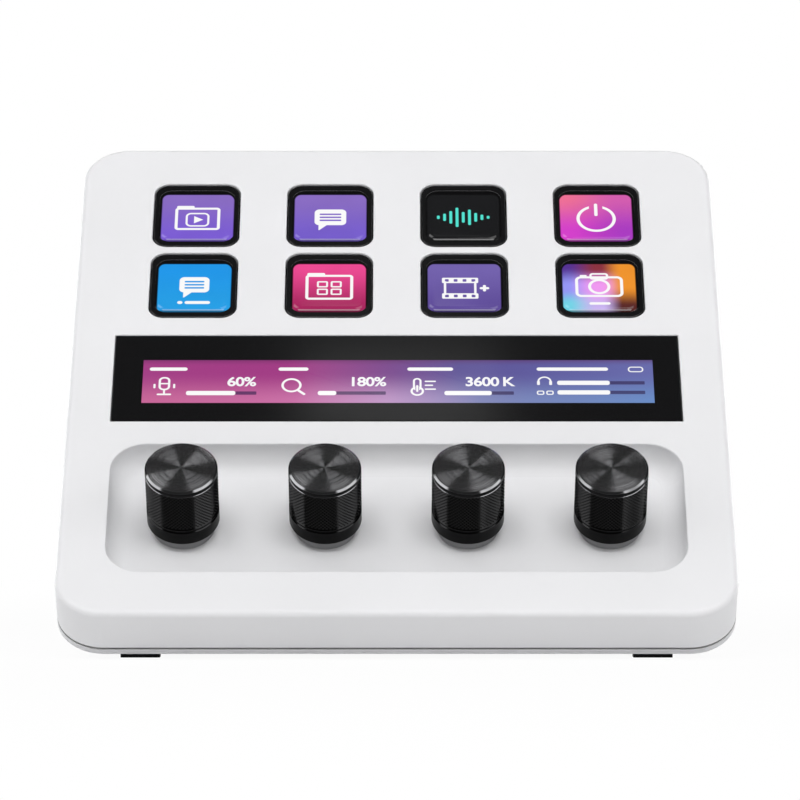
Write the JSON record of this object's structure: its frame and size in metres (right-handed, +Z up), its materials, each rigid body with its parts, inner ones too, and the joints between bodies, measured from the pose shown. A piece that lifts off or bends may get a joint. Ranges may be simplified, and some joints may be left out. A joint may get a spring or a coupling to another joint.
{
  "type": "macro keypad",
  "caption": "Sloped desk keypad with sprung lit keys, a touch strip and push-and-turn knobs in a recessed tray, on a weighted stand with a USB-C socket.",
  "frame": {"origin": "on the table, under the middle of the object", "axes": "+X to the user's right, +Y to the back, +Z up"},
  "size_m": [0.14, 0.138, 0.1092],
  "materials": {
    "shell_plastic": "fine satin moulded plastic",
    "base_plastic": "fine satin moulded plastic",
    "strip_glass": "glass printed black behind, polished",
    "touch_glass": "polished",
    "key_cap": "polished clear plastic over a black surround",
    "silicone": "matte silicone",
    "circuit_board": "solder mask",
    "display_glass": "polished",
    "backlight": "white reflector",
    "carrier_plastic": "moulded plastic",
    "screw_steel": "zinc plated",
    "knob_aluminium": "black anodised, turned",
    "shaft_steel": "turned",
    "encoder_metal": "stamped",
    "plunger_plastic": "moulded plastic",
    "ribbon_film": "polyimide film",
    "connector_plastic": "moulded plastic",
    "ballast_steel": "phosphated steel",
    "foot_rubber": "matte rubber",
    "port_steel": "drawn steel shell",
    "lead_jacket": "smooth jacket"
  },
  "bodies": {
    "housing": {"back_cover": "shell_plastic", "ballast_plate": "ballast_steel", "base_plate": "base_plastic", "base_screws": "screw_steel", "carrier_screws": "screw_steel", "cover_screws": "screw_steel", "display_carrier": "carrier_plastic", "display_ribbon": "ribbon_film", "encoder_board": "circuit_board", "encoder_body_1": "encoder_metal", "encoder_body_2": "encoder_metal", "encoder_body_3": "encoder_metal", "encoder_body_4": "encoder_metal", "encoder_ribbon": "ribbon_film", "encoder_screws": "screw_steel", "front_foot_1": "foot_rubber", "front_foot_2": "foot_rubber", "key_board": "circuit_board", "key_mat": "silicone", "lcd_backlight": "backlight", "lcd_panel": "display_glass", "lead_sockets": "connector_plastic", "main_board": "circuit_board", "main_chips": "connector_plastic", "main_screws": "screw_steel", "rear_foot_1": "foot_rubber", "rear_foot_2": "foot_rubber", "ribbon_sockets": "connector_plastic", "stand_screws": "screw_steel", "stand_shell": "shell_plastic", "strip_glass": "strip_glass", "top_shell": "shell_plastic", "touch_sensor": "touch_glass", "usb_board": "circuit_board", "usb_c_port": "port_steel", "usb_lead": "lead_jacket", "usb_screws": "screw_steel"},
    "key_1": {"key_cap_1": "key_cap"},
    "key_2": {"key_cap_2": "key_cap"},
    "key_3": {"key_cap_3": "key_cap"},
    "key_4": {"key_cap_4": "key_cap"},
    "key_5": {"key_cap_5": "key_cap"},
    "key_6": {"key_cap_6": "key_cap"},
    "key_7": {"key_cap_7": "key_cap"},
    "key_8": {"key_cap_8": "key_cap"},
    "push_1": {"switch_plunger_1": "plunger_plastic"},
    "dial_1": {"knob_1": "knob_aluminium", "encoder_shaft_1": "shaft_steel"},
    "push_2": {"switch_plunger_2": "plunger_plastic"},
    "dial_2": {"knob_2": "knob_aluminium", "encoder_shaft_2": "shaft_steel"},
    "push_3": {"switch_plunger_3": "plunger_plastic"},
    "dial_3": {"knob_3": "knob_aluminium", "encoder_shaft_3": "shaft_steel"},
    "push_4": {"switch_plunger_4": "plunger_plastic"},
    "dial_4": {"knob_4": "knob_aluminium", "encoder_shaft_4": "shaft_steel"}
  },
  "joints": [
    {"name": "key_1_press", "type": "slide", "parent": "housing", "child": "key_1", "axis": [0, 0.6947, -0.7193], "range_m": [0, 0.0009], "stiffness_N_per_m": 450, "springref_m": -0.0004, "deforming": ["key_mat"]},
    {"name": "key_2_press", "type": "slide", "parent": "housing", "child": "key_2", "axis": [0, 0.6947, -0.7193], "range_m": [0, 0.0009], "stiffness_N_per_m": 450, "springref_m": -0.0004, "deforming": ["key_mat"]},
    {"name": "key_3_press", "type": "slide", "parent": "housing", "child": "key_3", "axis": [0, 0.6947, -0.7193], "range_m": [0, 0.0009], "stiffness_N_per_m": 450, "springref_m": -0.0004, "deforming": ["key_mat"]},
    {"name": "key_4_press", "type": "slide", "parent": "housing", "child": "key_4", "axis": [0, 0.6947, -0.7193], "range_m": [0, 0.0009], "stiffness_N_per_m": 450, "springref_m": -0.0004, "deforming": ["key_mat"]},
    {"name": "key_5_press", "type": "slide", "parent": "housing", "child": "key_5", "axis": [0, 0.6947, -0.7193], "range_m": [0, 0.0009], "stiffness_N_per_m": 450, "springref_m": -0.0004, "deforming": ["key_mat"]},
    {"name": "key_6_press", "type": "slide", "parent": "housing", "child": "key_6", "axis": [0, 0.6947, -0.7193], "range_m": [0, 0.0009], "stiffness_N_per_m": 450, "springref_m": -0.0004, "deforming": ["key_mat"]},
    {"name": "key_7_press", "type": "slide", "parent": "housing", "child": "key_7", "axis": [0, 0.6947, -0.7193], "range_m": [0, 0.0009], "stiffness_N_per_m": 450, "springref_m": -0.0004, "deforming": ["key_mat"]},
    {"name": "key_8_press", "type": "slide", "parent": "housing", "child": "key_8", "axis": [0, 0.6947, -0.7193], "range_m": [0, 0.0009], "stiffness_N_per_m": 450, "springref_m": -0.0004, "deforming": ["key_mat"]},
    {"name": "knob_1_push", "type": "slide", "parent": "housing", "child": "push_1", "axis": [0, 0.6947, -0.7193], "range_m": [0, 0.0005], "stiffness_N_per_m": 5000, "springref_m": -0.0003},
    {"name": "knob_1_turn", "type": "hinge", "parent": "push_1", "child": "dial_1", "pos_m": [-0.0444, -0.04792, 0.03054], "axis": [0, -0.6947, 0.7193], "continuous": true},
    {"name": "knob_2_push", "type": "slide", "parent": "housing", "child": "push_2", "axis": [0, 0.6947, -0.7193], "range_m": [0, 0.0005], "stiffness_N_per_m": 5000, "springref_m": -0.0003},
    {"name": "knob_2_turn", "type": "hinge", "parent": "push_2", "child": "dial_2", "pos_m": [-0.0148, -0.04792, 0.03054], "axis": [0, -0.6947, 0.7193], "continuous": true},
    {"name": "knob_3_push", "type": "slide", "parent": "housing", "child": "push_3", "axis": [0, 0.6947, -0.7193], "range_m": [0, 0.0005], "stiffness_N_per_m": 5000, "springref_m": -0.0003},
    {"name": "knob_3_turn", "type": "hinge", "parent": "push_3", "child": "dial_3", "pos_m": [0.0148, -0.04792, 0.03054], "axis": [0, -0.6947, 0.7193], "continuous": true},
    {"name": "knob_4_push", "type": "slide", "parent": "housing", "child": "push_4", "axis": [0, 0.6947, -0.7193], "range_m": [0, 0.0005], "stiffness_N_per_m": 5000, "springref_m": -0.0003},
    {"name": "knob_4_turn", "type": "hinge", "parent": "push_4", "child": "dial_4", "pos_m": [0.0444, -0.04792, 0.03054], "axis": [0, -0.6947, 0.7193], "continuous": true}
  ]
}
